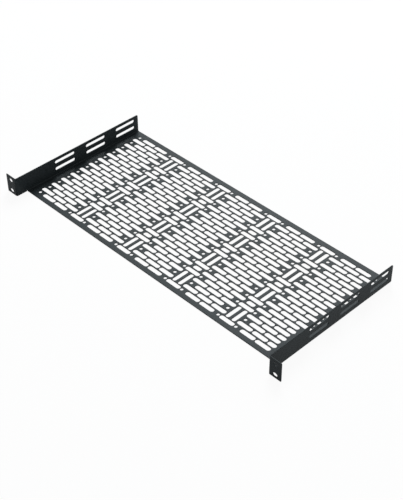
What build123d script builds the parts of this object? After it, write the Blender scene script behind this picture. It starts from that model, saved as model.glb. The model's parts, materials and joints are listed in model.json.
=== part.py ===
from build123d import *
import os

# A cantilever rack shelf: one steel sheet, punched flat and then folded.
# Millimetres. X runs across the rack, Y runs back from the rack's front and Z is up.
# The origin is under the middle of the shelf, on the surface that it would rest on.

# Sheet and folds
sheet = 1.2
bend_radius = 1.2  # inside of every fold
relief_width = 0.3  # slit that frees each floor fold from the wall in front of it

# Whole shelf
overall_width = 482.6  # ear edge to ear edge, for a nineteen inch rack
ear_width = 17.5  # from a side wall's outside to its ear's edge
overall_depth = 211.6
wall_height = 27.3  # walls and ears alike, from the underside
floor_setback = 16.7  # floor's front edge behind the front of the ears
wall_corner_radius = 2.0  # upper rear corner of each side wall
ear_corner_radius = 0.8

# Rack screw slots in the ears
ear_slot_inset = 8.75  # slot's centre from the ear's edge
ear_slot_rise = 15.875  # from the lower slot to the upper one
ear_slot_height = 5.0  # lower slot's centre above the underside
ear_slot_length = 6.5
ear_slot_width = 5.0

# Slots in the side walls, in pairs one above the other
wall_slot_length = 33.0
wall_slot_width = 4.5
wall_slot_corner = 1.35  # sloped off each corner to round the slot's ends
wall_slot_gap = 20.1  # between one pair and the next
wall_slot_row_gap = 5.9  # between the two slots of a pair
wall_slot_top_margin = 4.3
wall_slot_end_margin = 7.1

# Openings in the floor: blocks of staggered slots with ties between the blocks
slot_length = 22.6
slot_width = 6.2
slot_gap = 0.92  # web between the ends of two slots
row_gap = 1.74  # web between two rows
tie_width = 19.26  # from one block's last slot to the next block's first one
short_slot_length = 12.5
short_end_rows = 3  # front rows of three slots that end in a short slot at the right
pair_slot_width = 5.5
pair_gap = 4.0  # web between the two slots of a lengthwise pair
dot_width = 3.7
dot_gap = 1.05  # web between a dot and the end of a tie slot
floor_margin = 5.0  # least plain border round the openings

# Places that follow from the sizes above
front = -overall_depth / 2
back = overall_depth / 2
floor_front = front + floor_setback
floor_depth = back - floor_front
floor_middle = (floor_front + back) / 2
ear_edge = overall_width / 2
wall_outside = ear_edge - ear_width
wall_inside = wall_outside - sheet
fold_start = wall_inside - bend_radius
fold_outer_radius = bend_radius + sheet

slot_pitch = slot_length + slot_gap
row_pitch = slot_width + row_gap
block_width = 3 * slot_length + 2 * slot_gap
block_pitch = block_width + tie_width
pair_pitch = pair_slot_width + pair_gap
pair_length = 2 * (2 * row_pitch - slot_width / 2 - slot_gap)
dot_place = (block_pitch - slot_length - dot_width) / 2 - dot_gap

blocks = int((2 * (fold_start - floor_margin) - block_width) / block_pitch) + 1
rows_each_way = int((floor_depth / 2 - floor_margin - slot_width / 2) / row_pitch)
openings_half_width = ((blocks - 1) * block_pitch + block_width) / 2
seam = (openings_half_width + fold_start) / 2


def opening(x, y, length, width):
    """Outline of one floor opening, with its sides along X and Y."""
    return (Pos(x, floor_middle + y) * Rectangle(length, width)).wire()


def block_openings(x, row):
    """One row of a block: three slots, or two slots between two dots."""
    y = row * row_pitch
    if row % 2 == 0:
        slots = [opening(x + i * slot_pitch, y, slot_length, slot_width) for i in (-1, 0)]
        return slots + [end_opening(x + slot_pitch, y, row)]
    slots = [opening(x + i * slot_pitch / 2, y, slot_length, slot_width) for i in (-1, 1)]
    dots = [opening(x + i * dot_place, y, dot_width, dot_width) for i in (-1, 1)]
    return slots + dots


def end_opening(x, y, row):
    """Right slot of a row of three. In the front rows the one beside the right wall is short."""
    if row > 2 * short_end_rows - rows_each_way or x + slot_length < openings_half_width:
        return opening(x, y, slot_length, slot_width)
    return opening(x - (slot_length - short_slot_length) / 2, y, short_slot_length, slot_width)


def tie_openings(x, row):
    """One row of the strip between two blocks, which repeats every six rows."""
    y = row * row_pitch
    step = row % 6
    if step == 0:
        return [opening(x, y, short_slot_length, slot_width)]
    if step in (1, 5):
        return [opening(x, y, slot_length, slot_width)]
    if step == 3 and abs(row) < rows_each_way:
        return [opening(x + i * pair_pitch / 2, y, pair_slot_width, pair_length) for i in (-1, 1)]
    return []


def perforated_floor():
    """Flat part of the floor, out to the seam where the folded sides carry on."""
    openings = []
    for row in range(-rows_each_way, rows_each_way + 1):
        for i in range(blocks):
            openings += block_openings((i - (blocks - 1) / 2) * block_pitch, row)
        for i in range(blocks - 1):
            openings += tie_openings((i - (blocks - 2) / 2) * block_pitch, row)
    blank = Pos(0, floor_middle) * Rectangle(2 * seam, floor_depth)
    return extrude(Face(blank.wire(), openings), sheet)


def rounded_corner(outline, corner, radius):
    """The outline with the corner nearest to a point rounded."""
    return fillet(outline.vertices().sort_by_distance(corner)[0], radius)


def folded_strip(points, outside_corner, inside_corner):
    """Outline of a sheet folded once, with the fold's two faces one sheet apart."""
    outline = make_face(Polyline(*points, close=True))
    outline = rounded_corner(outline, outside_corner, fold_outer_radius)
    return rounded_corner(outline, inside_corner, bend_radius)


def side_wall():
    """Right side wall with the fold that joins it to the floor."""
    section = folded_strip(
        [
            (seam, 0),
            (wall_outside, 0),
            (wall_outside, wall_height),
            (wall_inside, wall_height),
            (wall_inside, sheet),
            (seam, sheet),
        ],
        (wall_outside, 0, 0),
        (wall_inside, sheet, 0),
    )
    rear = Plane((0, back, 0), x_dir=(1, 0, 0), z_dir=(0, -1, 0))
    wall = extrude(rear * section, floor_depth)
    top_edges = wall.edges().filter_by(Axis.X).group_by(Axis.Z)[-1]
    wall = fillet(top_edges.sort_by(Axis.Y)[-1], wall_corner_radius)
    return wall - wall_slots()


def wall_slots():
    """Cutters for the slots in the right side wall, spaced from the rear."""
    pitch = wall_slot_length + wall_slot_gap
    pairs = int((floor_depth - 2 * wall_slot_end_margin + wall_slot_gap) / pitch)
    upper = wall_height - wall_slot_top_margin - wall_slot_width / 2
    lower = upper - wall_slot_width - wall_slot_row_gap
    last = back - wall_slot_end_margin - wall_slot_length / 2
    slot = Rectangle(wall_slot_length, wall_slot_width)
    slot = chamfer(slot.vertices(), wall_slot_corner)
    cutters = []
    for i in range(pairs):
        for z in (lower, upper):
            face = Plane((wall_outside, last - i * pitch, z), x_dir=(0, 1, 0), z_dir=(1, 0, 0))
            cutters.append(extrude(face * slot, 2 * sheet, both=True))
    return cutters


def front_ear():
    """Right wall's forward end, folded out to the ear that screws to the rack."""
    outline = folded_strip(
        [
            (wall_inside, front),
            (ear_edge, front),
            (ear_edge, front + sheet),
            (wall_outside, front + sheet),
            (wall_outside, floor_front),
            (wall_inside, floor_front),
        ],
        (wall_inside, front, 0),
        (wall_outside, front + sheet, 0),
    )
    ear = extrude(outline, wall_height)
    corners = ear.edges().filter_by(Axis.Y).group_by(Axis.X)[-1]
    ear = fillet(corners, ear_corner_radius)
    return ear - fold_relief() - ear_slots()


def fold_relief():
    """Cutter for the slit between the floor's fold and the wall in front of it."""
    slit = Box(sheet, relief_width, fold_outer_radius, align=(Align.MIN, Align.MAX, Align.MIN))
    return Pos(wall_inside, floor_front, 0) * slit


def ear_slots():
    """Cutters for the two rack screw slots in the right ear."""
    slot = SlotOverall(ear_slot_length, ear_slot_width)
    cutters = []
    for z in (ear_slot_height, ear_slot_height + ear_slot_rise):
        face = Plane((ear_edge - ear_slot_inset, front, z), x_dir=(1, 0, 0), z_dir=(0, -1, 0))
        cutters.append(extrude(face * slot, 2 * sheet, both=True))
    return cutters


right_side = side_wall() + front_ear()
left_side = mirror(right_side, about=Plane.YZ)
shelf = perforated_floor() + [right_side, left_side]

os.makedirs("parts", exist_ok=True)
export_step(shelf, "parts/shelf.step")
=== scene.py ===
import bmesh
import bpy
import json
import math
from mathutils import Matrix, Vector
from mathutils.geometry import delaunay_2d_cdt


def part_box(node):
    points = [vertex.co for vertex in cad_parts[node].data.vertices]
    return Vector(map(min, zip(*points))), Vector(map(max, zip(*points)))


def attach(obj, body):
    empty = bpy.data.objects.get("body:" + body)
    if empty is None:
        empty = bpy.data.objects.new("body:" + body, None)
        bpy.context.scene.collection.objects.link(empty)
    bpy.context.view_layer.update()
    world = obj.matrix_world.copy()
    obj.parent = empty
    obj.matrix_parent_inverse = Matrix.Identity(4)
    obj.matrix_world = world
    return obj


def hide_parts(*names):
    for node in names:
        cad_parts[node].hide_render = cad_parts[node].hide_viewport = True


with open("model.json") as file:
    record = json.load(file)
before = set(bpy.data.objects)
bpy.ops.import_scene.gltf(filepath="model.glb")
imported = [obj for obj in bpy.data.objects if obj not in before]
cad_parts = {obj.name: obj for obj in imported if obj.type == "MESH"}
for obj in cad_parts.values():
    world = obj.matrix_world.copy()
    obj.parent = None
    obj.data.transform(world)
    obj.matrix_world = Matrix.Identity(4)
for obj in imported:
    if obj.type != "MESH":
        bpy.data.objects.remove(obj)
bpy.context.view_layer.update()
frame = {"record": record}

# The blank: one flat sheet of mild steel, sheared and notched to its outline.
# The floor is its middle, the side walls lie beside the floor and each ear lies ahead of its wall.
mm = 0.001
low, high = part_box("shelf")
mounts = {mount["name"]: mount for mount in frame["record"]["mounts"]}
sheet = mounts["floor_top"]["pos_m"][2]
bend_radius = 1.2 * mm
ear_width = 17.5 * mm
floor_setback = 16.7 * mm
wall_corner = 2.0 * mm
ear_corner = 0.8 * mm
relief_width = 0.3 * mm
arc_steps = 8

mid_radius = bend_radius + sheet / 2
outer_radius = bend_radius + sheet
fold_length = mid_radius * math.pi / 2
wall_outside = high.x - ear_width
wall_fold = wall_outside - outer_radius
wall_start = wall_fold + fold_length
wall_top = wall_start + high.z - outer_radius
tab_bottom = wall_start - outer_radius
floor_front = low.y + floor_setback
tab_rear = floor_front - relief_width
ear_fold = low.y + outer_radius
ear_start = ear_fold - fold_length
ear_tip = ear_start - (ear_width - bend_radius)


def rounded(corners):
    """Points of an outline of right-angled corners, each given as x, y and its radius."""
    points = []
    for i, (x, y, radius) in enumerate(corners):
        corner = Vector((x, y))
        before = Vector(corners[i - 1][:2])
        after = Vector(corners[(i + 1) % len(corners)][:2])
        if radius == 0:
            points.append(corner)
            continue
        from_corner = (before - corner).normalized() * radius
        to_next = (after - corner).normalized() * radius
        for step in range(arc_steps + 1):
            turn = math.pi / 2 * step / arc_steps
            points.append(corner + from_corner * (1 - math.sin(turn)) + to_next * (1 - math.cos(turn)))
    return points


right_edge = [
    (wall_start, floor_front, 0),
    (wall_start, tab_rear, 0),
    (tab_bottom, tab_rear, 0),
    (tab_bottom, ear_tip, ear_corner),
    (wall_top, ear_tip, ear_corner),
    (wall_top, high.y, wall_corner),
]
left_edge = [(-x, y, radius) for x, y, radius in reversed(right_edge)]
outline = rounded(right_edge + left_edge)

# The punched openings: slots with round ends, and round holes between them, punched in the flat sheet.
# The floor has five blocks of staggered slots with ties between the blocks, each side wall has
# three pairs of long slots, and each ear has two short slots for the rack's screws.
slot_length = 22.6 * mm
slot_width = 6.2 * mm
slot_gap = 0.92 * mm
row_gap = 1.74 * mm
tie_width = 19.26 * mm
short_slot_length = 12.5 * mm
pair_slot_width = 5.5 * mm
pair_gap = 4.0 * mm
dot_width = 4.2 * mm
dot_gap = 0.8 * mm
blocks = 5
rows_each_way = 11
short_end_rows = (-10, -8, -6)

slot_pitch = slot_length + slot_gap
row_pitch = slot_width + row_gap
block_width = 3 * slot_length + 2 * slot_gap
block_pitch = block_width + tie_width
pair_pitch = pair_slot_width + pair_gap
pair_length = 2 * (2 * row_pitch - slot_width / 2 - slot_gap)
dot_place = (block_pitch - slot_length - dot_width) / 2 - dot_gap
floor_middle = (floor_front + high.y) / 2

wall_slot_pairs = 3
wall_slot_length = 33.0 * mm
wall_slot_width = 4.5 * mm
wall_slot_pitch = 53.1 * mm
wall_slot_rise = 10.4 * mm
wall_slot_top_margin = 4.3 * mm
wall_slot_end_margin = 7.1 * mm

rack = mounts["rack_ear_slots"]["dims"]
ear_slot_length = rack["slot_length_mm"] * mm
ear_slot_width = 2 * rack["hole_r_mm"] * mm
ear_slot_reach = rack["spacing_x_mm"] * mm / 2 - wall_outside - bend_radius
ear_slot_rise = rack["spacing_y_mm"] * mm
ear_slot_middle = mounts["rack_ear_slots"]["pos_m"][2]


def slot(x, y, along_x, along_y):
    """Outline of a slot with round ends, clockwise; one as long as it is wide is a round hole."""
    radius = min(along_x, along_y) / 2
    reach = Vector((along_x / 2 - radius, along_y / 2 - radius))
    start = math.pi / 2 if along_x >= along_y else math.pi
    steps_each_end = arc_steps + 1 if reach.length else arc_steps
    points = []
    for side in (1, -1):
        centre = Vector((x, y)) + side * reach
        for step in range(steps_each_end):
            turn = start - math.pi * step / arc_steps
            points.append(centre + side * radius * Vector((math.cos(turn), math.sin(turn))))
    return points


def block_openings(x, row):
    """One row of a block: three slots, or two slots between two round holes."""
    y = floor_middle + row * row_pitch
    if row % 2 == 0:
        slots = [slot(x + i * slot_pitch, y, slot_length, slot_width) for i in (-1, 0)]
        return slots + [end_slot(x + slot_pitch, y, row)]
    slots = [slot(x + i * slot_pitch / 2, y, slot_length, slot_width) for i in (-1, 1)]
    return slots + [slot(x + i * dot_place, y, dot_width, dot_width) for i in (-1, 1)]


def end_slot(x, y, row):
    """Right slot of a row of three. In three rows the one beside the right wall's front is short."""
    if row not in short_end_rows or x < (blocks - 1) / 2 * block_pitch:
        return slot(x, y, slot_length, slot_width)
    return slot(x - (slot_length - short_slot_length) / 2, y, short_slot_length, slot_width)


def tie_openings(x, row):
    """One row of the strip between two blocks, which repeats every six rows."""
    y = floor_middle + row * row_pitch
    step = row % 6
    if step == 0:
        return [slot(x, y, short_slot_length, slot_width)]
    if step in (1, 5):
        return [slot(x, y, slot_length, slot_width)]
    if step == 3 and abs(row) < rows_each_way:
        return [slot(x + i * pair_pitch / 2, y, pair_slot_width, pair_length) for i in (-1, 1)]
    return []


openings = []
for row in range(-rows_each_way, rows_each_way + 1):
    for i in range(blocks):
        openings += block_openings((i - (blocks - 1) / 2) * block_pitch, row)
    for i in range(blocks - 1):
        openings += tie_openings((i - (blocks - 2) / 2) * block_pitch, row)

upper_slots = wall_top - wall_slot_top_margin - wall_slot_width / 2
last_slots = high.y - wall_slot_end_margin - wall_slot_length / 2
for side in (-1, 1):
    for i in range(wall_slot_pairs):
        for x in (upper_slots, upper_slots - wall_slot_rise):
            y = last_slots - i * wall_slot_pitch
            openings.append(slot(side * x, y, wall_slot_width, wall_slot_length))
    for i in (-1, 1):
        x = tab_bottom + ear_slot_middle + i * ear_slot_rise / 2
        openings.append(slot(side * x, ear_start - ear_slot_reach, ear_slot_width, ear_slot_length))

# The sheet's thickness: every sheared or punched edge stands square through the steel,
# and the coating leaves its two corners slightly rounded.
edge_radius = 0.25 * mm
merge_distance = 0.0001 * mm
inside_only = 1
edge_turns = [math.radians(a) for a in (90, 45, 0)]
lower_levels = [
    (edge_radius * (1 - math.cos(a)), edge_radius * (1 - math.sin(a)) - sheet / 2) for a in edge_turns
]
levels = lower_levels + [(inset, -height) for inset, height in reversed(lower_levels)]


def inset_loop(points, inset):
    """The loop moved into the sheet, which lies on its left."""
    moved = []
    for i, point in enumerate(points):
        before = (point - points[i - 1]).normalized().orthogonal()
        after = (points[(i + 1) % len(points)] - point).normalized().orthogonal()
        moved.append(point + (before + after) * inset / (1 + before.dot(after)))
    return moved


loops = [outline] + openings
loop_starts = [0]
for loop in loops:
    loop_starts.append(loop_starts[-1] + len(loop))
count = loop_starts[-1]
indices = [list(range(start, start + len(loop))) for start, loop in zip(loop_starts, loops)]

face_points = [point for loop in loops for point in inset_loop(loop, edge_radius)]
face_loops = [indices[0]] + [list(reversed(loop)) for loop in indices[1:]]
filled = delaunay_2d_cdt(face_points, [], face_loops, inside_only, merge_distance)
_, _, triangles, sources, _, owners = filled
triangles = [[sources[v][0] for v in face] for face, owner in zip(triangles, owners) if owner == [0]]

vertices = []
for inset, height in levels:
    for loop in loops:
        vertices += [(point.x, point.y, height) for point in inset_loop(loop, inset)]
top = (len(levels) - 1) * count
faces = [[top + v for v in face] for face in triangles]
faces += [list(reversed(face)) for face in triangles]
for level in range(len(levels) - 1):
    under = level * count
    over = under + count
    for loop in indices:
        for a, b in zip(loop, loop[1:] + loop[:1]):
            faces.append([under + a, under + b, over + b, over + a])

blank = bpy.data.meshes.new("shelf_sheet")
blank.from_pydata(vertices, [], faces)

# The folds: each side wall is folded up along the floor and each ear is folded out from its wall.
# The wall runs on past the floor's front edge, freed from the floor's fold by a short slit.
fold_steps = 8


def bend(distance, offset):
    """Places a point of the sheet along and across a quarter turn.

    The distance is from the fold's start and the offset is from the sheet's middle towards the inside.
    """
    if distance <= 0:
        return distance, offset
    if distance >= fold_length:
        return mid_radius - offset, mid_radius + distance - fold_length
    turn = distance / mid_radius
    radius = mid_radius - offset
    return radius * math.sin(turn), mid_radius - radius * math.cos(turn)


def folded(point):
    """Place in the shelf of a point in the flat sheet."""
    side = math.copysign(1, point.x)
    across, up = bend(abs(point.x) - wall_fold, point.z)
    y = point.y
    if abs(point.x) > wall_fold and y < tab_rear + relief_width / 2:
        along, out = bend(ear_fold - y, -point.z)
        across = mid_radius + out
        up = abs(point.x) - tab_bottom - sheet / 2
        y = ear_fold - along
    return Vector((side * (wall_fold + across), y, sheet / 2 + up))


solid = bmesh.new()
solid.from_mesh(blank)
for step in range(fold_steps + 1):
    reach = fold_length * step / fold_steps
    cuts = [((wall_fold + reach, 0, 0), (1, 0, 0)), ((-wall_fold - reach, 0, 0), (1, 0, 0))]
    cuts.append(((0, ear_fold - reach, 0), (0, 1, 0)))
    for place, normal in cuts:
        whole = solid.verts[:] + solid.edges[:] + solid.faces[:]
        bmesh.ops.bisect_plane(solid, geom=whole, dist=merge_distance, plane_co=place, plane_no=normal)
for vertex in solid.verts:
    vertex.co = folded(vertex.co)
for face in solid.faces:
    face.smooth = True
solid.to_mesh(blank)
solid.free()

shelf = bpy.data.objects.new("shelf_sheet", blank)
bpy.context.collection.objects.link(shelf)
flat_faces = shelf.modifiers.new("flat_faces", "WEIGHTED_NORMAL")
flat_faces.weight = 100
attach(shelf, "root")
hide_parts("shelf")

# The finish: black powder coat, baked on all over after folding. It is satin,
# with a fine grain and a faint unevenness where the powder fell thicker.


class Wire:
    """A socket in a material's nodes. Arithmetic on it adds Math nodes."""

    def __init__(self, tree, socket=None):
        self.tree = tree
        self.socket = socket

    def node(self, kind, settings=None, inputs=None, output=None):
        """Adds a node with its settings, then its inputs, and gives its output or its first one."""
        made = self.tree.nodes.new(kind)
        for name, value in (settings or {}).items():
            setattr(made, name, value)
        for name, value in (inputs or {}).items():
            socket = made.inputs[name]
            if isinstance(name, str):
                socket = next(s for s in made.inputs if s.enabled and s.name == name)
            if isinstance(value, Wire):
                self.tree.links.new(value.socket, socket)
            else:
                socket.default_value = value
        shown = [s for s in made.outputs if s.enabled and output in (None, s.name)]
        return Wire(self.tree, shown[0] if shown else None)

    def maths(self, operation, first, second):
        """Adds a Math node on two sockets or numbers."""
        return self.node("ShaderNodeMath", {"operation": operation}, {0: first, 1: second})

    def __add__(self, other):
        return self.maths("ADD", self, other)

    def __radd__(self, other):
        return self.maths("ADD", other, self)

    def __sub__(self, other):
        return self.maths("SUBTRACT", self, other)

    def __rsub__(self, other):
        return self.maths("SUBTRACT", other, self)

    def __mul__(self, other):
        return self.maths("MULTIPLY", self, other)

    def __rmul__(self, other):
        return self.maths("MULTIPLY", other, self)


def new_material(name):
    """An empty material and the start of its nodes."""
    material = bpy.data.materials.new(name)
    material.use_nodes = True
    material.node_tree.nodes.clear()
    return material, Wire(material.node_tree)


coat_thin = (0.0250, 0.0310, 0.0335, 1)
coat_thick = (0.0300, 0.0365, 0.0390, 1)
coat_roughness = 0.37
coat_shine = 0.040
coat_grain = 0.7 * mm
coat_grain_depth = 0.012 * mm
coat_drift = 35 * mm
grain_share = 0.3
grain_roughening = 0.10
drift_roughening = 0.06

coat, nodes = new_material("black_powder_coat")
place = nodes.node("ShaderNodeTexCoord", output="Object")
drift = nodes.node("ShaderNodeTexNoise", {}, {"Vector": place, "Scale": 1 / coat_drift, "Detail": 2.0})
grain = nodes.node("ShaderNodeTexNoise", {}, {"Vector": place, "Scale": 1 / coat_grain, "Detail": 3.0})
colour = nodes.node(
    "ShaderNodeMix",
    {"data_type": "RGBA"},
    {"Factor": drift + grain_share * (grain - drift), "A": coat_thin, "B": coat_thick},
)
roughness = coat_roughness + grain_roughening * (grain - 0.5) + drift_roughening * (drift - 0.5)
surface = nodes.node("ShaderNodeBump", {}, {"Distance": coat_grain_depth, "Height": grain})
shader = nodes.node(
    "ShaderNodeBsdfPrincipled",
    {},
    {
        "Base Color": colour,
        "Roughness": roughness,
        "Specular IOR Level": coat_shine,
        "Normal": surface,
    },
)
nodes.node("ShaderNodeOutputMaterial", {}, {"Surface": shader})
blank.materials.append(coat)

# The floor that the shelf lies on: a plain pale sheet of matt board, large enough to fill the view.
# It looks white, and it keeps a faint soft shadow of the shelf.
floor_size = 6.0
floor_grey = (0.80, 0.80, 0.80, 1)
floor_white = 0.94
floor_gap = 0.02 * mm

half = floor_size / 2
floor_corners = [(-half, -half, 0), (half, -half, 0), (half, half, 0), (-half, half, 0)]
board = bpy.data.meshes.new("studio_floor")
board.from_pydata(floor_corners, [], [(0, 1, 2, 3)])
floor = bpy.data.objects.new("studio_floor", board)
floor.location.z = low.z - floor_gap
bpy.context.collection.objects.link(floor)


def seen(nodes):
    """One for rays from the camera and for reflected or refracted ones, and none for the light."""
    direct = nodes.node("ShaderNodeLightPath", output="Is Camera Ray")
    reflected = nodes.node("ShaderNodeLightPath", output="Is Glossy Ray")
    refracted = nodes.node("ShaderNodeLightPath", output="Is Transmission Ray")
    return nodes.maths("MINIMUM", direct + reflected + refracted, 1)


paint, nodes = new_material("pale_floor")
matt = nodes.node("ShaderNodeBsdfDiffuse", {}, {"Color": floor_grey})
white = nodes.node("ShaderNodeEmission", {}, {"Strength": 1.0})
mixed = nodes.node("ShaderNodeMixShader", {}, {0: floor_white * seen(nodes), 1: matt, 2: white})
nodes.node("ShaderNodeOutputMaterial", {}, {"Surface": mixed})
board.materials.append(paint)

# The studio: a large round soft light above the shelf's rear left corner, whose sheen falls on the floor,
# a small one at the rear right that lifts the left wall, and a weak even light from all round.
daylight = (0.95, 1.0, 1.02)
room_light = 0.22


def soft_light(name, place, size, power):
    """A round soft light that faces the shelf."""
    light = bpy.data.lights.new(name, "AREA")
    light.shape = "DISK"
    light.size = size
    light.energy = power
    light.color = daylight
    lamp = bpy.data.objects.new(name, light)
    lamp.location = place
    lamp.rotation_euler = (-Vector(place)).to_track_quat("-Z", "Y").to_euler()
    bpy.context.collection.objects.link(lamp)


soft_light("key", (-1.45, 1.98, 2.35), size=2.0, power=140)
soft_light("fill", (1.45, 1.20, 1.25), size=0.6, power=6)

world = bpy.data.worlds.new("studio")
world.use_nodes = True
world.node_tree.nodes.clear()
bpy.context.scene.world = world
nodes = Wire(world.node_tree)
strength = room_light + (1 - room_light) * seen(nodes)
sky = nodes.node("ShaderNodeBackground", {}, {"Color": (1, 1, 1, 1), "Strength": strength})
nodes.node("ShaderNodeOutputWorld", {}, {"Surface": sky})

# The camera stands to the right of the shelf's front and looks down on it through a long lens.
# It is turned a little about its own line of sight.
view_azimuth = math.radians(45.935)
view_elevation = math.radians(40.081)
view_roll = math.radians(-0.506)
view_distance = 1.4181
view_centre = Vector((0.0230, -0.0116, 0))
frame_height = 500
lens_in_pixels = 1158.2

camera = bpy.data.cameras.new("camera")
camera.sensor_width = 36
camera.lens = camera.sensor_width * lens_in_pixels / frame_height
towards = Vector((math.sin(view_azimuth), -math.cos(view_azimuth), math.tan(view_elevation))).normalized()
viewer = bpy.data.objects.new("camera", camera)
turn = towards.to_track_quat("Z", "Y").to_matrix() @ Matrix.Rotation(view_roll, 3, "Z")
viewer.matrix_world = Matrix.Translation(view_centre + towards * view_distance) @ turn.to_4x4()
bpy.context.collection.objects.link(viewer)
bpy.context.scene.camera = viewer
bpy.context.scene.view_settings.view_transform = "Standard"
